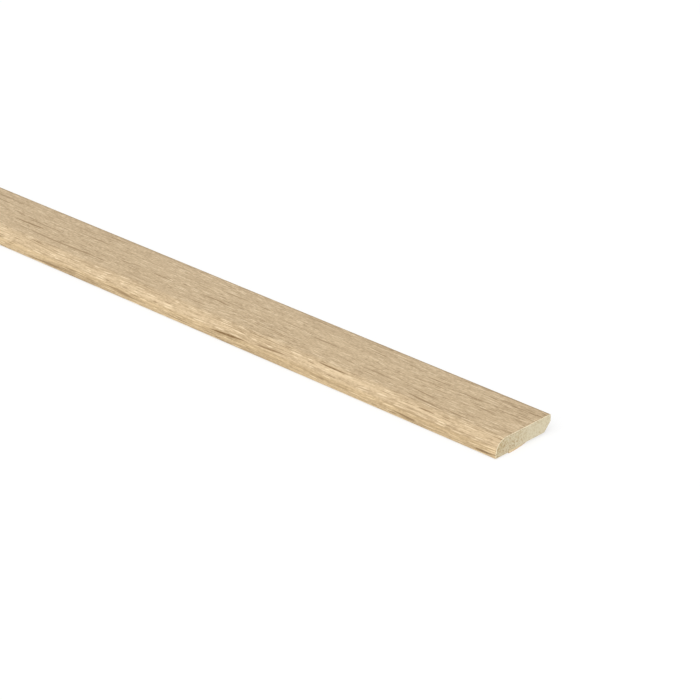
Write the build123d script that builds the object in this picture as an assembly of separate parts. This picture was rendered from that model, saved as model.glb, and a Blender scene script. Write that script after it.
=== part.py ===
"""Self-adhesive skirting board: a slim foil-wrapped fibreboard moulding with double-sided tape on its back.

It lies on its back, as on a shelf, with its face up. X runs along the board, and Y across it, from the
rounded edge that ends up on top on the wall (-Y) to the square edge that stands on the floor (+Y).
The origin is in the middle of the length and width, on the surface that the board lies on.
"""

import os

from build123d import *

# Driving dimensions, in millimetres
LENGTH = 2400.0  # as sold
WIDTH = 22.0  # the board's height once it is on the wall
THICKNESS = 5.0  # from the face to the land, without tape and liner
TOP_EDGE_RADIUS = 4.0  # the big round between the face and the wall-top edge
FLOOR_EDGE_RADIUS = 0.4  # the face's easing along the floor edge, which the foil bends round
LAND_WIDTH = 5.0  # the strip of the back along the wall-top edge that meets the wall
BACK_RELIEF = 0.4  # how much deeper the rest of the back lies, to make room for the tape
BACK_CHAMFER = 2.5  # at 45 degrees between the relieved back and the floor edge
TAPE_WIDTH = 8.0
TAPE_THICKNESS = 0.6
TAPE_CLEARANCE = 0.2  # bare back between the land's step and the tape
LINER_THICKNESS = 0.1  # the paper that is peeled off before the board is stuck on

# Levels and places that follow from them
TAPE_BOTTOM = LINER_THICKNESS
BOARD_BACK = TAPE_BOTTOM + TAPE_THICKNESS - BACK_RELIEF  # the land
STEP_Y = -WIDTH / 2 + LAND_WIDTH  # where the relief starts
TAPE_TOP_SIDE_Y = STEP_Y + TAPE_CLEARANCE  # the tape's long side nearest to the wall-top edge


def corner(sketch, side, level):
    """The corner of the section's outline on the wall-top or floor side, at the face or the back."""
    column = sketch.vertices().group_by(Axis.X)[{"wall_top": 0, "floor": -1}[side]]
    return column.sort_by(Axis.Y)[{"back": 0, "face": -1}[level]]


def board_section():
    """The moulded section, with the land of its back on the sketch's X axis."""
    with BuildSketch() as section:
        Rectangle(WIDTH, THICKNESS, align=(Align.CENTER, Align.MIN))
        with Locations((STEP_Y, 0)):
            Rectangle(WIDTH - LAND_WIDTH, BACK_RELIEF, align=(Align.MIN, Align.MIN), mode=Mode.SUBTRACT)
        chamfer(corner(section, "floor", "back"), BACK_CHAMFER)
        fillet(corner(section, "floor", "face"), FLOOR_EDGE_RADIUS)
        fillet(corner(section, "wall_top", "face"), TOP_EDGE_RADIUS)
    return section.sketch


def strip_section(thickness):
    """The section of a flat strip as wide as the tape, with its underside on the sketch's X axis."""
    with BuildSketch() as section:
        with Locations((TAPE_TOP_SIDE_Y, 0)):
            Rectangle(TAPE_WIDTH, thickness, align=(Align.MIN, Align.MIN))
    return section.sketch


def run_along_board(section, level):
    """A section drawn in Y and Z, lifted to its level and run over the whole length."""
    left_end = Plane(origin=(-LENGTH / 2, 0, level), x_dir=(0, 1, 0), z_dir=(1, 0, 0))
    return extrude(left_end * section, amount=LENGTH)


pieces = {
    "board": run_along_board(board_section(), BOARD_BACK),
    "adhesive_tape": run_along_board(strip_section(TAPE_THICKNESS), TAPE_BOTTOM),
    "release_liner": run_along_board(strip_section(LINER_THICKNESS), 0),
}

os.makedirs("parts", exist_ok=True)
for name, piece in pieces.items():
    piece.label = name
    export_step(piece, f"parts/{name}.step")
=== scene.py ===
"""Finishes the self-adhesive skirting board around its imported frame, then lights and frames it.

Each piece is modelled again as a finer mesh of the frame's exact size. The oak print follows the foil
round the moulding, so the board carries a map that unrolls it. X runs along the board, -Y is the rounded
edge that ends up on top on the wall, +Y is the edge that stands on the floor, and +Z is out of the face.
"""

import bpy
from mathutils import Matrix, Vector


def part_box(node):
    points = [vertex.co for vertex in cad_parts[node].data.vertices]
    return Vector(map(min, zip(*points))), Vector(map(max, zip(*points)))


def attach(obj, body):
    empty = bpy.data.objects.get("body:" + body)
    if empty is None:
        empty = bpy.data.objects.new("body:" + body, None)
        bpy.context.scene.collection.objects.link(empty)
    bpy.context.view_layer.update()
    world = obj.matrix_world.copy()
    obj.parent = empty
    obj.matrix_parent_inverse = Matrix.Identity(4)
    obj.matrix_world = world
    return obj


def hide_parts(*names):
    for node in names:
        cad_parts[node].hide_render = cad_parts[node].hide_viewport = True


bl_info = {
    "name": "Self-adhesive skirting board",
    "version": (1, 0, 0),
    "blender": (4, 5, 0),
    "location": "3D View > Sidebar > Skirting",
    "description": "Models a foil-wrapped skirting board with its tape, liner and studio stage",
    "category": "Object",
}

import math
from typing import NamedTuple

import bmesh
import bpy
from bpy.props import FloatProperty, FloatVectorProperty, IntProperty, PointerProperty
from bpy.types import Operator, Panel, PropertyGroup
from mathutils import Color, Vector

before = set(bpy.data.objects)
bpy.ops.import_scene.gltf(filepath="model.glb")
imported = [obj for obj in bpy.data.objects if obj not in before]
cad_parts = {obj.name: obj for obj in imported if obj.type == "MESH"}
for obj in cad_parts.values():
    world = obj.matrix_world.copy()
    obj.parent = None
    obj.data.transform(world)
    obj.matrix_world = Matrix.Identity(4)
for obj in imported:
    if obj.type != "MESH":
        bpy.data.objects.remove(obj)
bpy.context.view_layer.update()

MM = 0.001
TOUCH = 0.01 * MM  # levels closer than this count as one
WHITE = (1.0, 1.0, 1.0)
BODY = "root"
BOARD_LOW, BOARD_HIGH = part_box("board")
TAPE_LOW, TAPE_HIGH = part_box("adhesive_tape")
LINER_LOW, LINER_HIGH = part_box("release_liner")

# Facets and cuts of the meshes
SHARP_ANGLE = math.radians(25)  # edges that bend more are shaded sharp
END_ANGLE = math.radians(60)  # faces that look along the board to within this belong to an end
CHAMFER_SEGMENTS = 1
ARRIS_SEGMENTS = 5  # round the easing of the floor edge
STRIP_EDGE_SEGMENTS = 3  # round each long edge of the tape and the liner
END_STRIPS = 6  # flat strips that a bent cut is made of

# Maps that every piece carries: its sides unrolled in metres, and the same cut into rows for baking
WRAP_MAP = "Wrap"
BAKE_MAP = "OFBake"
BAKE_GAP = 1.0 * MM  # bare room between the rows of the bake map
BOARD_ROWS, STRIP_ROWS = 7, 12  # as many as make a bake map about square
WAY_ROUND = "way_round"  # each point's distance from the seam, round the section

# The oak print, in millimetres of the unrolled foil, counted across it from the middle of the face
NEAR_END = BOARD_HIGH.x / MM
GRAIN_SWAY = 1.2  # how far the grain wanders to each side
FACE_ENDS, EDGE_STARTS = -5.5, -9.0  # between them the print gets more fibrous
LOW_EDGE_SHADE_STARTS, LOW_EDGE_SHADE_FULL = -10.8, -12.6  # painted shade, darker and more golden, low on the wall-top edge where the round turns away from the light
ARRIS_SHADE_STARTS, ARRIS_SHADE_FULL = 10.0, 10.5  # painted shade on the floor arris, which turns away from the light


class Streak(NamedTuple):
    """A bold streak of the oak print; the one along the floor arris is painted shade."""

    from_end: float  # from the board's near end to the streak's middle
    across: float  # place of its middle
    run: float  # its length
    width: float
    rise: float  # how far it leans towards the floor edge, per millimetre towards the near end
    strength: float


BOLD_STREAKS_AND_ARRIS_SHADE = (
    Streak(100.0, -11.8, 17.0, 0.8, 0.045, 1.0),
    Streak(83.5, -10.9, 14.0, 0.7, 0.045, 0.75),
    Streak(29.5, -6.5, 17.0, 0.9, -0.08, 0.68),
    Streak(16.5, -6.4, 9.5, 0.6, 0.0, 0.6),
    Streak(32.0, -3.2, 14.0, 0.6, -0.08, 0.6),
    Streak(48.5, -2.7, 14.0, 0.5, -0.03, 0.45),
    Streak(60.5, -8.8, 13.0, 0.6, 0.0, 0.9),
    Streak(26.0, -9.4, 7.0, 0.6, 0.0, 0.8),
    Streak(73.0, 1.2, 17.0, 0.5, 0.0, 0.65),
    Streak(56.5, 6.0, 8.0, 0.5, 0.0, 0.6),
    Streak(115.5, -0.5, 13.0, 0.5, 0.0, 0.65),
    Streak(113.5, 5.1, 15.0, 0.5, -0.01, 0.5),
    Streak(128.0, 5.5, 11.0, 0.5, 0.0, 0.45),
    Streak(119.0, -5.2, 12.0, 0.5, 0.0, 0.55),
    Streak(142.5, -5.5, 15.0, 0.5, -0.04, 0.45),
    Streak(13.5, 0.5, 13.0, 0.5, -0.1, 0.5),
    Streak(20.5, 3.3, 9.0, 0.5, 0.0, 0.45),
    Streak(3.0, 4.6, 7.0, 0.5, 0.0, 0.5),
    Streak(144.5, -12.7, 15.0, 1.2, -0.06, 0.6),
    Streak(4.4, -13.6, 7.5, 0.8, 0.0, 0.9),
    Streak(32.0, -13.2, 10.0, 0.7, -0.06, 0.8),
    # painted shade: a dark line along the floor arris by the near end
    Streak(17.0, 10.5, 36.0, 1.0, 0.0, 0.5),
)
STREAKS_REACH = 160.0  # from the near end, past which chance strews the streaks
STREAKS_FADE = 15.0  # over which the strewn ones come in


class Dashes(NamedTuple):
    """A kind of dash that chance strews along the grain of the oak print."""

    lane: float  # pitch of the lanes that the dashes lie in
    cell: float  # length of a lane's cells, each with room for one dash
    width: float
    share: float  # of the cells that have one
    strength: float
    seed: float


SHORT_PORES = Dashes(lane=0.5, cell=7.0, width=0.24, share=0.65, strength=0.76, seed=1.0)
LONG_PORES = Dashes(lane=1.15, cell=26.0, width=0.3, share=0.58, strength=0.78, seed=2.0)
RAYS = Dashes(lane=0.55, cell=7.0, width=0.3, share=0.62, strength=0.8, seed=3.0)
FAR_STREAKS = Dashes(lane=2.9, cell=48.0, width=0.7, share=0.7, strength=0.75, seed=4.0)
LANE_SHIFT = 31.7  # cells that chance shifts a lane by, at most
DASH_HALF_LENGTHS = (0.14, 0.48)  # of the shortest and the longest, in cells

# The bare core, in millimetres across the board from its middle
# first pair: where the core's painted shade is darkest and palest
CORE_DARKEST, CORE_PALEST = -12.0, -1.0
FLECKS_FEWEST, FLECKS_MOST = 3.0, -6.0


# Settings


def srgb(red, green, blue):
    """A colour given from 0 to 255, as the linear values that a shader takes."""
    return tuple(Color((red / 255, green / 255, blue / 255)).from_srgb_to_scene_linear())


def length(name, description, default):
    """A length setting, in metres."""
    return FloatProperty(
        name=name, description=description, default=default, min=0.0, unit="LENGTH", precision=5
    )


def angle(name, description, degrees):
    """An angle setting, given here in degrees."""
    return FloatProperty(name=name, description=description, default=math.radians(degrees), subtype="ANGLE")


def strength(name, description, default):
    """A light's strength."""
    return FloatProperty(name=name, description=description, default=default, min=0.0)


def colour(name, description, default):
    """A colour setting, in linear values."""
    return FloatVectorProperty(
        name=name, description=description, default=default, size=3, min=0.0, max=1.0, subtype="COLOR"
    )


class BoardSettings(PropertyGroup):
    """Sizes and colours of the board."""

    top_edge_radius: length("Top edge radius", "Round between the face and the wall-top edge", 4.0 * MM)
    round_segments: IntProperty(
        name="Round segments", description="Facets of the big round", default=18, min=3
    )
    floor_edge_radius: length("Floor edge radius", "Easing between the face and the floor edge", 0.4 * MM)
    land_width: length("Land width", "Strip of the back by the wall-top edge that meets the wall", 5.0 * MM)
    back_chamfer: length("Back chamfer", "Between the relieved back and the floor edge", 2.5 * MM)
    wall_lap: length("Wall lap", "How far the foil reaches onto the land", 3.5 * MM)
    floor_lap: length("Floor lap", "How far the foil reaches onto the relieved back", 2.0 * MM)
    foil_edge: length("Foil edge", "Width of the foil's pale edge where the board is sawn", 0.11 * MM)
    saw_arris: length("Saw arris", "How far the sawn edge is worn back", 0.08 * MM)
    oak_light: colour("Light oak", "Ground of the oak print", srgb(206, 183, 148))
    oak_dark: colour("Dark oak", "Late wood of the oak print", srgb(167, 144, 111))
    # painted shade: multiplies the print darker and more golden low on the wall-top edge
    low_edge_shade_tint: colour("Golden cast", "Multiplies the print low on the wall-top edge", (0.955, 0.925, 0.84))
    ray: colour("Ray", "Pale rays of the oak print", srgb(227, 206, 172))
    # also the colour of the painted shade along the floor arris
    pore_and_arris_shade: colour("Pore", "Pores and streaks of the oak print", srgb(118, 90, 52))
    core_light: colour("Light fibre", "Pale fibres of the board's core", srgb(202, 192, 165))
    # also the colour of the core's painted shade towards the wall-top edge
    core_dark_and_shade: colour("Dark fibre", "Dark fibres of the board's core", srgb(170, 151, 109))
    fleck: colour("Fleck", "Bark flecks of the board's core", srgb(144, 106, 72))
    paper: colour("Foil paper", "Paper of the foil where it is cut", srgb(230, 217, 185))


class TapeSettings(PropertyGroup):
    """Sizes and colours of the tape and its liner."""

    foam_edge_radius: length("Foam edge radius", "How far the foam's long edges are rounded", 0.14 * MM)
    liner_edge_radius: length("Liner edge radius", "How far the liner's long edges are rounded", 0.03 * MM)
    askew_cut: length("Askew cut", "How far the tape's end is cut back on its floor side", 0.9 * MM)
    foam: colour("Foam", "Colour of the foam tape", srgb(210, 190, 152))
    liner: colour("Liner", "Colour of the peel-off paper", srgb(204, 154, 100))
    liner_fibre: colour("Liner fibre", "Colour of the paper's darker fibres", srgb(182, 130, 78))


class StageSettings(PropertyGroup):
    """The camera's place, the lights and the floor."""

    camera_turn: angle("Camera turn", "From over the rounded edge towards the near end", 43.668)
    camera_lift: angle("Camera lift", "Camera's height above the horizon", 25.969)
    distance: length("Distance", "From the camera to what it looks at", 765.24 * MM)
    lens: FloatProperty(name="Lens", description="Focal length", default=142.71, min=1.0, unit="CAMERA")
    aim_from_end: length("Aim from end", "How far from the near end the camera looks", 64.8 * MM)
    aim_across: length("Aim across", "How far from the middle towards the floor edge it looks", 2.2 * MM)
    key: strength("Key light", "Soft light over the rounded edge, in watts per square metre", 2.15)
    key_turn: angle("Key turn", "From over the rounded edge towards the near end", 18.0)
    key_lift: angle("Key lift", "Key light's height above the horizon", 50.0)
    key_softness: angle("Key softness", "How wide the key light looks from the board", 70.0)
    fill: strength("Fill light", "Softer light over the near end, in watts per square metre", 0.9)
    fill_turn: angle("Fill turn", "From over the rounded edge towards the near end", 90.0)
    fill_lift: angle("Fill lift", "Fill light's height above the horizon", 28.0)
    fill_softness: angle("Fill softness", "How wide the fill light looks from the board", 90.0)
    sky: strength("Sky", "Even light from all round", 0.57)
    floor: colour("Floor", "Colour of the floor where it isn't lit from below", (0.3, 0.3, 0.3))
    glow: strength("Floor glow", "Light from below, as in a light table, which keeps shadows faint", 0.65)


class SkirtingSettings(PropertyGroup):
    """Everything that the panel shows."""

    board: PointerProperty(type=BoardSettings)
    tape: PointerProperty(type=TapeSettings)
    stage: PointerProperty(type=StageSettings)


# Modelling


def outline(bm, x, places):
    """A face across the end at x, drawn through these places in Y and Z, and its points by name."""
    bm.verts.layers.float.new(WAY_ROUND)
    points = {name: bm.verts.new((x, y, z)) for name, (y, z) in places.items()}
    bm.faces.new(points.values())
    return points


def ease(bm, corner, size, segments):
    """Rounds a corner of the outline to a radius, or cuts it straight with one segment."""
    bmesh.ops.bevel(
        bm, geom=[corner], affect="VERTICES", offset=size, offset_type="OFFSET", segments=segments,
        profile=0.5, material=-1,
    )


def measure_girth(bm, seam):
    """Notes on each point of the outline how far round it lies from the seam, and returns the whole way."""
    way_round = bm.verts.layers.float[WAY_ROUND]
    (face,) = bm.faces
    loop = next(loop for loop in face.loops if loop.vert == seam)
    to_wall_first = loop.link_loop_next.vert.co.y < seam.co.y
    girth = 0.0
    for _ in face.loops:
        loop.vert[way_round] = girth
        girth += (loop.edge if to_wall_first else loop.link_loop_prev.edge).calc_length()
        loop = loop.link_loop_next if to_wall_first else loop.link_loop_prev
    return girth


def slice_mesh(bm, places, normal):
    """Cuts the mesh through at each of these places, square to the normal."""
    for place in places:
        everything = bm.verts[:] + bm.edges[:] + bm.faces[:]
        bmesh.ops.bisect_plane(bm, geom=everything, plane_co=place, plane_no=normal)


def run_along(bm, left, right, rows):
    """Runs the outline from its end to the other one, and cuts its sides where the bake map's rows end."""
    made = bmesh.ops.extrude_face_region(bm, geom=bm.faces[:])
    far = [part for part in made["geom"] if isinstance(part, bmesh.types.BMVert)]
    run = right - left
    bmesh.ops.translate(bm, vec=(run, 0, 0), verts=far)
    slice_mesh(bm, [(left + run * row / rows, 0, 0) for row in range(1, rows)], (1, 0, 0))
    bmesh.ops.recalc_face_normals(bm, faces=bm.faces[:])


def is_end(face):
    """Whether the face belongs to an end of its piece."""
    return abs(face.normal.x) > math.cos(END_ANGLE)


def lay_maps(bm, girth, rows, low, high, zero):
    """Unrolls the sides in metres, with zero at that way round, and stacks the same in rows for baking."""
    way_round = bm.verts.layers.float[WAY_ROUND]
    wrap = bm.loops.layers.uv.new(WRAP_MAP)
    bake = bm.loops.layers.uv.new(BAKE_MAP)
    row_run = (high.x - low.x) / rows
    row_pitch = girth + BAKE_GAP
    ends_at = row_run + 2 * BAKE_GAP
    side = max(rows * row_pitch + BAKE_GAP, ends_at + high.z - low.z + BAKE_GAP)
    for face in bm.faces:
        middle = face.calc_center_median()
        row = min(int((middle.x - low.x) / row_run), rows - 1)
        ways = [loop.vert[way_round] for loop in face.loops]
        if max(ways) - min(ways) > girth / 2:
            ways = [way + girth if way < girth / 2 else way for way in ways]
        for loop, way in zip(face.loops, ways):
            place = loop.vert.co
            if is_end(face):
                step = 0 if middle.x < 0 else high.y - low.y + BAKE_GAP
                loop[wrap].uv = place.y, place.z
                u = ends_at + place.z - low.z
                v = BAKE_GAP + place.y - low.y + step
            else:
                loop[wrap].uv = place.x, way - zero
                u = BAKE_GAP + place.x - low.x - row * row_run
                v = BAKE_GAP + row * row_pitch + way
            loop[bake].uv = u / side, v / side


def finish_piece(bm, name, materials, node):
    """Makes the mesh a piece of the object that stands for its node in the frame."""
    if not all(edge.is_manifold for edge in bm.edges):
        raise RuntimeError(f"{name} isn't closed")
    mesh = bpy.data.meshes.new(name)
    bm.to_mesh(mesh)
    bm.free()
    mesh.shade_smooth()
    mesh.set_sharp_from_angle(angle=SHARP_ANGLE)
    for material in materials:
        mesh.materials.append(material)
    piece = bpy.data.objects.new(name, mesh)
    bpy.context.collection.objects.link(piece)
    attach(piece, BODY)
    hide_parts(node)


def make_strip(name, low, high, radius, askew, material, node):
    """Models a flat strip with rounded long edges, and its near end cut on a bend, over its node."""
    bm = bmesh.new()
    points = outline(bm, low.x, {
        "seam": ((low.y + high.y) / 2, low.z),
        "wall_back": (low.y, low.z),
        "wall_face": (low.y, high.z),
        "floor_face": (high.y, high.z),
        "floor_back": (high.y, low.z),
    })
    for corner in ("wall_back", "wall_face", "floor_face", "floor_back"):
        ease(bm, points[corner], radius, STRIP_EDGE_SEGMENTS)
    girth = measure_girth(bm, points["seam"])
    run_along(bm, low.x, high.x, STRIP_ROWS)
    slice_mesh(bm, [low.lerp(high, strip / END_STRIPS) for strip in range(1, END_STRIPS)], (0, 1, 0))
    for point in bm.verts:
        if point.co.x > high.x - TOUCH:
            point.co.x -= askew * ((point.co.y - low.y) / (high.y - low.y)) ** 2
    lay_maps(bm, girth, STRIP_ROWS, low, high, girth / 2)
    finish_piece(bm, name, [material], node)


# Materials


class Sheet:
    """A node tree with short ways to add nodes to it."""

    NODE_PITCH = 200  # between the nodes in the editor
    SEED_STEPS = (7.31, 3.17, 5.23)  # how far apart two seeds of a noise lie, in its cells
    COLOUR_A, COLOUR_B, COLOUR_OUT = 6, 7, 2  # the Mix node's colour sockets, named as others of its are

    def __init__(self, tree):
        self.tree = tree

    def give(self, socket, value):
        """Links an input to another socket, or fills it with a value or a colour."""
        if isinstance(value, bpy.types.NodeSocket):
            self.tree.links.new(value, socket)
        elif socket.type == "RGBA":
            socket.default_value = (*value, 1.0)
        else:
            socket.default_value = value

    def add(self, kind, inputs=None, **options):
        """Adds a node, sets its options, and links or fills its inputs."""
        made = self.tree.nodes.new(kind)
        made.location = (self.NODE_PITCH * len(self.tree.nodes), 0)
        for option, value in options.items():
            setattr(made, option, value)
        for socket, value in (inputs or {}).items():
            self.give(made.inputs[socket], value)
        return made

    def place(self, group, inputs):
        """Places a node group with its own values, and returns its outputs."""
        return self.add("ShaderNodeGroup", inputs, node_tree=group).outputs

    def maths(self, operation, *values):
        """One step of arithmetic on numbers and sockets."""
        return self.add("ShaderNodeMath", dict(enumerate(values)), operation=operation).outputs[0]

    def weigh(self, *terms):
        """The sum of several values, each times its weight."""
        total = 0.0
        for value, weight in terms:
            total = self.maths("MULTIPLY_ADD", value, weight, total)
        return total

    def strongest(self, *masks):
        """The largest of several masks."""
        most, *others = masks
        for mask in others:
            most = self.maths("MAXIMUM", most, mask)
        return most

    def between(self, value, at_zero, at_one):
        """Goes evenly from one number to another while value goes from 0 to 1."""
        return self.maths("MULTIPLY_ADD", value, at_one - at_zero, at_zero)

    def ramp(self, value, low, high, to_low=0.0, to_high=1.0):
        """Eases from one number to another while value goes from low to high."""
        inputs = {"Value": value, "From Min": low, "From Max": high, "To Min": to_low, "To Max": to_high}
        return self.add("ShaderNodeMapRange", inputs, interpolation_type="SMOOTHSTEP").outputs["Result"]

    def blend(self, amount, first, second, way="MIX"):
        """Blends two colours."""
        inputs = {"Factor": amount, self.COLOUR_A: first, self.COLOUR_B: second}
        made = self.add("ShaderNodeMix", inputs, data_type="RGBA", blend_type=way)
        return made.outputs[self.COLOUR_OUT]

    def vector(self, *parts):
        """A vector of up to three numbers."""
        return self.add("ShaderNodeCombineXYZ", dict(enumerate(parts))).outputs[0]

    def parts(self, vector):
        """The three numbers of a vector."""
        return self.add("ShaderNodeSeparateXYZ", {"Vector": vector}).outputs

    def scale(self, vector, factor):
        """A vector times a number."""
        inputs = {"Vector": vector, "Scale": factor}
        return self.add("ShaderNodeVectorMath", inputs, operation="SCALE").outputs[0]

    def millimetres(self, map_name=None):
        """A map's coordinates, or else the Object ones, in millimetres."""
        if map_name:
            place = self.add("ShaderNodeUVMap", uv_map=map_name).outputs["UV"]
        else:
            place = self.add("ShaderNodeTexCoord").outputs["Object"]
        return self.scale(place, 1 / MM)

    def noise(self, where, cell, detail, seed, rough=0.55):
        """Flat or solid noise, whose cells measure the two or three sizes given, in the units of where."""
        scale = [1 / size for size in cell] + [1.0] * (3 - len(cell))
        location = [seed * step for step in self.SEED_STEPS]
        inputs = {"Vector": where, "Location": location, "Scale": scale}
        placed = self.add("ShaderNodeMapping", inputs).outputs[0]
        inputs = {"Vector": placed, "Scale": 1.0, "Detail": detail, "Roughness": rough}
        return self.add("ShaderNodeTexNoise", inputs, noise_dimensions=f"{len(cell)}D").outputs["Fac"]

    def draw(self, *numbers):
        """Three numbers from 0 to 1 that chance gives to these numbers."""
        inputs = {"Vector": self.vector(*numbers)}
        chance = self.add("ShaderNodeTexWhiteNoise", inputs, noise_dimensions="3D").outputs["Color"]
        return self.add("ShaderNodeSeparateColor", {"Color": chance}).outputs


def new_material(name):
    """A material with only a Principled shader, the sheet to draw its nodes on, and the shader."""
    material = bpy.data.materials.new(name)
    material.use_nodes = True
    return material, Sheet(material.node_tree), material.node_tree.nodes["Principled BSDF"]


def feed(sheet, shader, base, roughness, height, depth):
    """Feeds a shader its colour, its roughness and bumps of that depth."""
    bump = sheet.add("ShaderNodeBump", {"Height": height, "Distance": depth, "Strength": 1.0})
    sheet.give(shader.inputs["Base Color"], base)
    sheet.give(shader.inputs["Roughness"], roughness)
    sheet.give(shader.inputs["Normal"], bump.outputs["Normal"])


def number_sockets(*names):
    """Sockets of these names for a group, with a number each."""
    return dict.fromkeys(names, "NodeSocketFloat")


def new_group(name, inputs, outputs):
    """A shader node group with these sockets, its sheet, what it is given and what it puts out."""
    tree = bpy.data.node_groups.new(name, "ShaderNodeTree")
    for way, sockets in (("INPUT", inputs), ("OUTPUT", outputs)):
        for socket, kind in sockets.items():
            tree.interface.new_socket(socket, in_out=way, socket_type=kind)
    sheet = Sheet(tree)
    return tree, sheet, sheet.add("NodeGroupInput").outputs, sheet.add("NodeGroupOutput").inputs


def lens_shape(sheet, along, off, softness):
    """A pointed streak as a mask, from places along it and off it in half lengths and half widths."""
    taper = sheet.maths("SUBTRACT", 1.0, sheet.maths("MULTIPLY", along, along))
    return sheet.ramp(sheet.maths("SUBTRACT", taper, sheet.maths("ABSOLUTE", off)), 0.0, softness)


def streak_group():
    """Group: a leaning streak of the print, as a mask."""
    inputs = number_sockets("Along", "Across", "Middle Along", "Middle Across", "Length", "Width", "Rise")
    tree, sheet, given, out = new_group("Print Streak", inputs, number_sockets("Mask"))
    along = sheet.maths("SUBTRACT", given["Along"], given["Middle Along"])
    line = sheet.maths("MULTIPLY_ADD", along, given["Rise"], given["Middle Across"])
    off = sheet.maths("SUBTRACT", given["Across"], line)
    half_length = sheet.maths("DIVIDE", given["Length"], 2.0)
    half_width = sheet.maths("DIVIDE", given["Width"], 2.0)
    along = sheet.maths("DIVIDE", along, half_length)
    off = sheet.maths("DIVIDE", off, half_width)
    sheet.give(out["Mask"], lens_shape(sheet, along, off, softness=0.5))
    return tree


def dash_group():
    """Group: dashes strewn in lanes along the grain, each with its own place, length and strength."""
    inputs = number_sockets("Along", "Across", "Lane", "Cell", "Width", "Share", "Seed")
    tree, sheet, given, out = new_group("Print Dashes", inputs, number_sockets("Mask"))
    lanes = sheet.maths("DIVIDE", given["Across"], given["Lane"])
    lane = sheet.maths("FLOOR", lanes)
    shift, _, _ = sheet.draw(lane, given["Seed"])
    cells = sheet.maths("DIVIDE", given["Along"], given["Cell"])
    cells = sheet.maths("MULTIPLY_ADD", shift, LANE_SHIFT, cells)
    cell = sheet.maths("FLOOR", cells)
    keep, size, place = sheet.draw(lane, cell, given["Seed"])

    half_length = sheet.between(size, *DASH_HALF_LENGTHS)
    room = sheet.maths("SUBTRACT", 1.0, sheet.maths("MULTIPLY", half_length, 2.0))
    middle = sheet.maths("MULTIPLY_ADD", place, room, half_length)
    along = sheet.maths("SUBTRACT", sheet.maths("FRACT", cells), middle)
    along = sheet.maths("DIVIDE", along, half_length)
    half_width = sheet.maths("DIVIDE", sheet.maths("DIVIDE", given["Width"], given["Lane"]), 2.0)
    off = sheet.maths("SUBTRACT", sheet.maths("FRACT", lanes), 0.5)
    off = sheet.maths("DIVIDE", off, half_width)
    mask = lens_shape(sheet, along, off, softness=0.3)
    kept = sheet.ramp(keep, given["Share"], 0.0)
    sheet.give(out["Mask"], sheet.maths("MULTIPLY", mask, kept))
    return tree


def fibre_group():
    """Group, made once: the mottle of pressed fibres in board and paper, as tone, dark flecks and height."""
    name = "Pressed Fibres"
    if name in bpy.data.node_groups:
        return bpy.data.node_groups[name]
    inputs = {"Place": "NodeSocketVector", **number_sockets("Fleck Size")}
    tree, sheet, given, out = new_group(name, inputs, number_sockets("Tone", "Flecks", "Height"))
    place = sheet.scale(given["Place"], sheet.maths("DIVIDE", 1.0, given["Fleck Size"]))
    patches = sheet.noise(place, cell=(4.5, 4.5, 3.0), detail=2.0, seed=1)
    fibres = sheet.noise(place, cell=(1.6, 1.0, 0.7), detail=3.0, seed=2)
    grains = sheet.noise(place, cell=(0.55, 0.55, 0.55), detail=1.0, seed=3)
    tone = sheet.weigh((fibres, 0.65), (patches, 0.35))
    sheet.give(out["Tone"], sheet.ramp(tone, 0.32, 0.68))
    sheet.give(out["Flecks"], sheet.ramp(sheet.maths("MULTIPLY", fibres, grains), 0.26, 0.1))
    sheet.give(out["Height"], sheet.weigh((grains, 0.4), (fibres, 0.6)))
    return tree


def bold_streaks_and_arris_shade(sheet, along, across):
    """The bold streaks by the near end, with the line of painted shade along the floor arris, as one mask.
    """
    group = streak_group()
    masks = []
    for streak in BOLD_STREAKS_AND_ARRIS_SHADE:
        inputs = {
            "Along": along, "Across": across, "Middle Along": NEAR_END - streak.from_end,
            "Middle Across": streak.across, "Length": streak.run, "Width": streak.width, "Rise": streak.rise,
        }
        masks.append(sheet.maths("MULTIPLY", sheet.place(group, inputs)["Mask"], streak.strength))
    return sheet.strongest(*masks)


def strewn(sheet, group, along, across, kind):
    """Dashes of one kind all over the print, as a mask."""
    inputs = {
        "Along": along, "Across": across, "Lane": kind.lane, "Cell": kind.cell, "Width": kind.width,
        "Share": kind.share, "Seed": kind.seed,
    }
    return sheet.maths("MULTIPLY", sheet.place(group, inputs)["Mask"], kind.strength)


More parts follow.
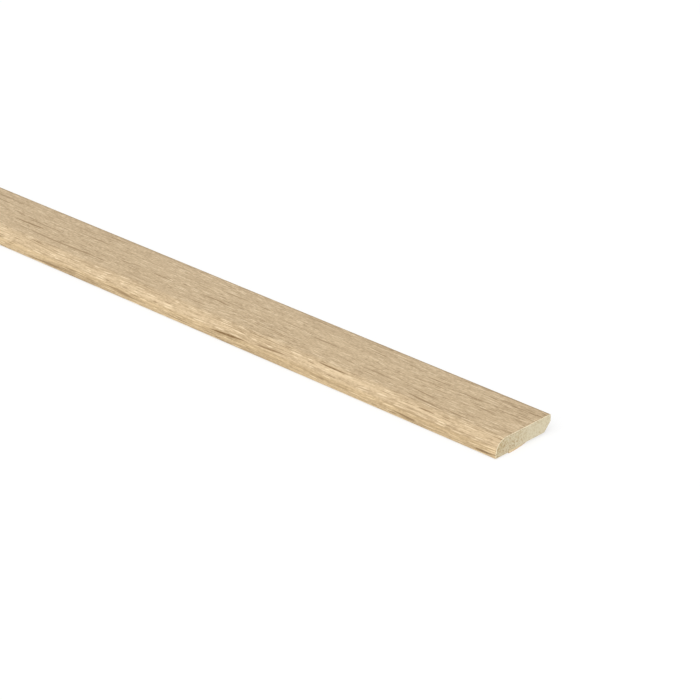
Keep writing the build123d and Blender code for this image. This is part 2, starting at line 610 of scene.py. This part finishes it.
def oak_foil(settings):
    """The matt oak print: growth bands, fibres, grit and pale rays, under pores and bold streaks, with
    painted shade low on the wall-top edge and along the floor arris.
    """
    material, sheet, shader = new_material("oak_foil")
    foil = sheet.millimetres(WRAP_MAP)
    along, straight, _ = sheet.parts(foil)
    drift = sheet.noise(foil, cell=(60.0, 9.0), detail=1.0, seed=1)
    across = sheet.maths("ADD", straight, sheet.between(drift, -GRAIN_SWAY, GRAIN_SWAY))
    grain = sheet.vector(along, across)

    bands = sheet.noise(grain, cell=(160.0, 2.4), detail=2.0, seed=2)
    fibres = sheet.noise(grain, cell=(34.0, 0.7), detail=3.0, seed=3, rough=0.65)
    clusters = sheet.noise(grain, cell=(60.0, 2.6), detail=1.0, seed=5)
    grit = sheet.noise(grain, cell=(1.3, 0.35), detail=1.0, seed=6)
    hairs = sheet.noise(grain, cell=(6.0, 0.11), detail=1.0, seed=8)

    def varied(on_face, on_edge):
        """A number that changes where the face rounds into the wall-top edge."""
        return sheet.ramp(straight, FACE_ENDS, EDGE_STARTS, on_face, on_edge)

    middle_tone = 0.645
    tone = sheet.weigh(
        (fibres, varied(0.26, 0.48)), (bands, 0.17), (grit, varied(0.47, 0.29)), (hairs, 0.35)
    )
    spread = varied(0.2, 0.16)
    darkest = sheet.maths("SUBTRACT", middle_tone, spread)
    palest = sheet.maths("ADD", middle_tone, spread)
    base = sheet.blend(sheet.ramp(tone, darkest, palest), settings.oak_dark, settings.oak_light)
    group = dash_group()
    base = sheet.blend(strewn(sheet, group, along, across, RAYS), base, settings.ray)
    # painted shade low on the wall-top edge, where the round turns away from the light
    low_edge_shade = sheet.ramp(straight, LOW_EDGE_SHADE_STARTS, LOW_EDGE_SHADE_FULL)
    base = sheet.blend(low_edge_shade, base, settings.low_edge_shade_tint, "MULTIPLY")

    pores = [strewn(sheet, group, along, across, kind) for kind in (SHORT_PORES, LONG_PORES)]
    clustered = sheet.ramp(clusters, 0.3, 0.6, to_low=0.25, to_high=1.0)
    pores = sheet.maths("MULTIPLY", sheet.strongest(*pores), clustered)
    far = sheet.ramp(along, NEAR_END - STREAKS_REACH, NEAR_END - STREAKS_REACH - STREAKS_FADE)
    far_streaks = sheet.maths("MULTIPLY", strewn(sheet, group, along, across, FAR_STREAKS), far)
    # the bold streaks take in a line of painted shade along the floor arris
    streaks = sheet.strongest(bold_streaks_and_arris_shade(sheet, along, straight), far_streaks)
    broken = sheet.ramp(grit, 0.3, 0.6, to_low=0.7, to_high=1.0)
    streaks = sheet.maths("MULTIPLY", streaks, broken)
    # painted shade along the floor arris, which turns away from the light
    arris_shade = sheet.ramp(straight, ARRIS_SHADE_STARTS, ARRIS_SHADE_FULL, to_low=0.0, to_high=0.32)
    dark = sheet.strongest(pores, streaks, arris_shade)
    base = sheet.blend(dark, base, settings.pore_and_arris_shade)

    roughness = sheet.between(dark, 0.44, 0.69)
    height = sheet.weigh((grit, 0.4), (dark, -1.0))
    feed(sheet, shader, base, roughness, height, depth=0.03 * MM)
    shader.inputs["Specular IOR Level"].default_value = 0.4
    return material


def fibreboard(settings):
    """The bare core: pressed pale fibres, sawn and sanded, more flecked by the wall-top edge and darker
    there as painted shade.
    """
    material, sheet, shader = new_material("bare_fibreboard")
    place = sheet.millimetres()
    _, across, _ = sheet.parts(place)
    found = sheet.place(fibre_group(), {"Place": place, "Fleck Size": 0.8})
    # painted shade, darker towards the wall-top edge
    shade = sheet.ramp(across, CORE_DARKEST, CORE_PALEST, to_low=0.1, to_high=0.57)
    tone = sheet.maths("MULTIPLY_ADD", found["Tone"], 0.55, shade)
    base = sheet.blend(tone, settings.core_dark_and_shade, settings.core_light)
    share = sheet.ramp(across, FLECKS_FEWEST, FLECKS_MOST, to_low=0.16, to_high=0.68)
    base = sheet.blend(sheet.maths("MULTIPLY", found["Flecks"], share), base, settings.fleck)
    roughness = sheet.between(found["Tone"], 0.9, 0.8)
    feed(sheet, shader, base, roughness, found["Height"], depth=0.03 * MM)
    shader.inputs["Specular IOR Level"].default_value = 0.2
    return material


def foil_paper(settings):
    """The foil's cut edge: pale paper, broken where the saw tore it."""
    material, sheet, shader = new_material("foil_paper")
    found = sheet.place(fibre_group(), {"Place": sheet.millimetres(), "Fleck Size": 0.35})
    base = sheet.blend(sheet.ramp(found["Tone"], 0.4, 0.8), settings.core_light, settings.paper)
    roughness = sheet.between(found["Tone"], 0.8, 0.9)
    feed(sheet, shader, base, roughness, found["Height"], depth=0.03 * MM)
    return material


def foam(settings):
    """Closed-cell foam: small round cells, each with painted shade in its middle."""
    material, sheet, shader = new_material("tape_foam")
    place = sheet.millimetres()
    cells_per_millimetre = 7.0
    inputs = {"Vector": place, "Scale": cells_per_millimetre}
    cells = sheet.add("ShaderNodeTexVoronoi", inputs).outputs["Distance"]
    shade = sheet.noise(place, cell=(2.0, 1.0, 1.0), detail=2.0, seed=6)
    hollow_shade = 0.82  # how much of its brightness the foam keeps in a cell's middle, where shade is painted in its pit
    darker = [part * hollow_shade for part in settings.foam]
    # painted shade in the pit of each cell
    base = sheet.blend(sheet.ramp(sheet.maths("MULTIPLY", cells, shade), 0.02, 0.2), darker, settings.foam)
    feed(sheet, shader, base, sheet.between(shade, 0.65, 0.85), cells, depth=0.015 * MM)
    return material


def liner_paper(settings):
    """Smooth siliconed paper, with a faint cloud of fibres and slitting lines along it."""
    material, sheet, shader = new_material("peel_off_paper")
    place = sheet.millimetres()
    found = sheet.place(fibre_group(), {"Place": place, "Fleck Size": 1.4})
    lines = sheet.noise(place, cell=(90.0, 0.25, 4.0), detail=1.0, seed=7)
    tone = sheet.weigh((lines, 0.3), (found["Tone"], 0.7))
    base = sheet.blend(tone, settings.liner_fibre, settings.liner)
    feed(sheet, shader, base, sheet.between(lines, 0.3, 0.45), found["Height"], depth=0.01 * MM)
    return material


# Operators


class SKIRTING_OT_board(Operator):
    """Models the foil-wrapped board over its node"""

    bl_idname = "skirting.board"
    bl_label = "Board"

    FOIL, CORE, PAPER = range(3)  # the board's material slots, in the order of its materials

    def execute(self, context):
        settings = context.scene.skirting.board
        land, relief = BOARD_LOW.z, TAPE_HIGH.z
        step = BOARD_LOW.y + settings.land_width
        bare_from = BOARD_LOW.y + settings.wall_lap
        bare_to = BOARD_HIGH.y - settings.back_chamfer - settings.floor_lap
        bm = bmesh.new()
        points = outline(bm, BOARD_LOW.x, {
            "seam": ((TAPE_LOW.y + TAPE_HIGH.y) / 2, relief),
            "relief_step": (step, relief),
            "land_step": (step, land),
            "wall_lap": (bare_from, land),
            "wall_back": (BOARD_LOW.y, land),
            "wall_face": (BOARD_LOW.y, BOARD_HIGH.z),
            "floor_face": (BOARD_HIGH.y, BOARD_HIGH.z),
            "floor_back": (BOARD_HIGH.y, relief),
            "floor_lap": (bare_to, relief),
        })
        ease(bm, points["floor_back"], settings.back_chamfer, CHAMFER_SEGMENTS)
        ease(bm, points["floor_face"], settings.floor_edge_radius, ARRIS_SEGMENTS)
        ease(bm, points["wall_face"], settings.top_edge_radius, settings.round_segments)
        girth = measure_girth(bm, points["seam"])
        face_middle = self.way_to_face_middle(bm, settings)
        run_along(bm, BOARD_LOW.x, BOARD_HIGH.x, BOARD_ROWS)
        self.wrap_in_foil(bm, bare_from, bare_to)
        self.saw_ends(bm, settings)
        lay_maps(bm, girth, BOARD_ROWS, BOARD_LOW, BOARD_HIGH, face_middle)
        materials = [oak_foil(settings), fibreboard(settings), foil_paper(settings)]
        finish_piece(bm, "foiled_board", materials, "board")
        return {"FINISHED"}

    @staticmethod
    def way_to_face_middle(bm, settings):
        """How far round from the seam the middle of the face lies."""
        way_round = bm.verts.layers.float[WAY_ROUND]
        crease_y = BOARD_LOW.y + settings.top_edge_radius
        face_points = [v for v in bm.verts if v.co.z > BOARD_HIGH.z - TOUCH]
        crease = min(face_points, key=lambda v: abs(v.co.y - crease_y))
        return crease[way_round] - crease.co.y

    def wrap_in_foil(self, bm, bare_from, bare_to):
        """Gives the sides their foil, apart from the bare stretch of the back."""
        for face in bm.faces:
            middle = face.calc_center_median()
            bare = bare_from < middle.y < bare_to and middle.z < TAPE_HIGH.z + TOUCH
            face.material_index = self.CORE if bare else self.FOIL

    def saw_ends(self, bm, settings):
        """Gives each end its core inside a rim of cut foil, with the outer edge worn back."""
        for end in [face for face in bm.faces if is_end(face)]:
            inwards = -math.copysign(settings.saw_arris, end.normal.x)
            rim = bmesh.ops.inset_region(
                bm, faces=[end], thickness=settings.foil_edge, use_boundary=True, use_even_offset=True
            )["faces"]
            end.material_index = self.CORE
            outer_points = {v for face in rim for v in face.verts} - set(end.verts)
            for face in rim:
                outside = next(edge for edge in face.edges if outer_points.issuperset(edge.verts))
                side = next(other for other in outside.link_faces if other != face)
                face.material_index = self.PAPER if side.material_index == self.FOIL else self.CORE
            bmesh.ops.translate(bm, vec=(inwards, 0, 0), verts=list(outer_points))


class SKIRTING_OT_tape(Operator):
    """Models the foam tape over its node"""

    bl_idname = "skirting.tape"
    bl_label = "Tape"

    def execute(self, context):
        settings = context.scene.skirting.tape
        make_strip(
            "foam_tape", TAPE_LOW, TAPE_HIGH, settings.foam_edge_radius, settings.askew_cut,
            foam(settings), "adhesive_tape",
        )
        return {"FINISHED"}


class SKIRTING_OT_liner(Operator):
    """Models the peel-off liner over its node"""

    bl_idname = "skirting.liner"
    bl_label = "Liner"

    def execute(self, context):
        settings = context.scene.skirting.tape
        make_strip(
            "peel_off_liner", LINER_LOW, LINER_HIGH, settings.liner_edge_radius, settings.askew_cut,
            liner_paper(settings), "release_liner",
        )
        return {"FINISHED"}


class SKIRTING_OT_stage(Operator):
    """Makes the floor, the lights and the camera"""

    bl_idname = "skirting.stage"
    bl_label = "Stage"

    FLOOR_REACH = 40.0  # metres from the middle to each side
    FLOOR_DROP = 0.01 * MM  # keeps the floor off the liner's underside
    CLIP_START = 10.0 * MM  # nearer things don't show

    def execute(self, context):
        settings = context.scene.skirting.stage
        self.make_floor(context, settings)
        self.make_sky(context, settings)
        to_key = self.direction(settings.key_turn, settings.key_lift)
        self.make_sun(context, "key", to_key, settings.key, settings.key_softness)
        to_fill = self.direction(settings.fill_turn, settings.fill_lift)
        self.make_sun(context, "fill", to_fill, settings.fill, settings.fill_softness)
        self.make_camera(context, settings)
        context.scene.view_settings.view_transform = "Standard"
        return {"FINISHED"}

    def make_floor(self, context, settings):
        """A plain pale floor under the liner, which glows like a light table."""
        bm = bmesh.new()
        bmesh.ops.create_grid(bm, x_segments=1, y_segments=1, size=self.FLOOR_REACH)
        bmesh.ops.translate(bm, vec=(0, 0, LINER_LOW.z - self.FLOOR_DROP), verts=bm.verts[:])
        mesh = bpy.data.meshes.new("floor")
        bm.to_mesh(mesh)
        bm.free()
        material, sheet, shader = new_material("floor")
        finish = {
            "Base Color": settings.floor, "Roughness": 0.9, "Specular IOR Level": 0.0,
            "Emission Color": WHITE, "Emission Strength": settings.glow,
        }
        for socket, value in finish.items():
            sheet.give(shader.inputs[socket], value)
        mesh.materials.append(material)
        floor = bpy.data.objects.new("floor", mesh)
        context.collection.objects.link(floor)

    @staticmethod
    def make_sky(context, settings):
        """Even white light from all round."""
        world = bpy.data.worlds.new("sky")
        world.use_nodes = True
        background = world.node_tree.nodes["Background"]
        background.inputs["Color"].default_value = (*WHITE, 1.0)
        background.inputs["Strength"].default_value = settings.sky
        context.scene.world = world

    def make_sun(self, context, name, towards, energy, softness):
        """A soft light that falls the same on the whole length."""
        light = bpy.data.lights.new(name, "SUN")
        light.energy = energy
        light.angle = softness
        self.set_up(context, light, towards, towards)

    def make_camera(self, context, settings):
        """The camera over the near end, as far and as high as the photograph's."""
        camera = bpy.data.cameras.new("camera")
        camera.lens = settings.lens
        camera.clip_start = self.CLIP_START
        aim = Vector((BOARD_HIGH.x - settings.aim_from_end, settings.aim_across, BOARD_HIGH.z))
        back = self.direction(settings.camera_turn, settings.camera_lift)
        context.scene.camera = self.set_up(context, camera, aim + back * settings.distance, back)

    @staticmethod
    def direction(turn, lift):
        """Points away from the board: turned from -Y towards +X, and lifted above the horizon."""
        return Vector((math.sin(turn) * math.cos(lift), -math.cos(turn) * math.cos(lift), math.sin(lift)))

    @staticmethod
    def set_up(context, data, place, back):
        """Sets up a light or the camera in its place, with its back turned that way."""
        made = bpy.data.objects.new(data.name, data)
        made.location = place
        made.rotation_mode = "QUATERNION"
        made.rotation_quaternion = back.to_track_quat("Z", "Y")
        context.collection.objects.link(made)
        return made


class SKIRTING_PT_panel(Panel):
    """Lists the settings and the operators"""

    bl_idname = "SKIRTING_PT_panel"
    bl_label = "Skirting board"
    bl_space_type = "VIEW_3D"
    bl_region_type = "UI"
    bl_category = "Skirting"

    def draw(self, context):
        settings = context.scene.skirting
        for group, operators in (
            (settings.board, (SKIRTING_OT_board,)),
            (settings.tape, (SKIRTING_OT_tape, SKIRTING_OT_liner)),
            (settings.stage, (SKIRTING_OT_stage,)),
        ):
            box = self.layout.box()
            for name in group.__annotations__:
                box.prop(group, name)
            for operator in operators:
                box.operator(operator.bl_idname)


CLASSES = (
    BoardSettings,
    TapeSettings,
    StageSettings,
    SkirtingSettings,
    SKIRTING_OT_board,
    SKIRTING_OT_tape,
    SKIRTING_OT_liner,
    SKIRTING_OT_stage,
    SKIRTING_PT_panel,
)


def register():
    """Registers the settings, the operators and the panel."""
    for made in CLASSES:
        bpy.utils.register_class(made)
    bpy.types.Scene.skirting = PointerProperty(type=SkirtingSettings)


def unregister():
    """Takes them out again."""
    del bpy.types.Scene.skirting
    for made in reversed(CLASSES):
        bpy.utils.unregister_class(made)


def main():
    """Makes every piece and the stage."""
    register()
    bpy.ops.skirting.board()
    bpy.ops.skirting.tape()
    bpy.ops.skirting.liner()
    bpy.ops.skirting.stage()


if __name__ == "__main__":
    main()
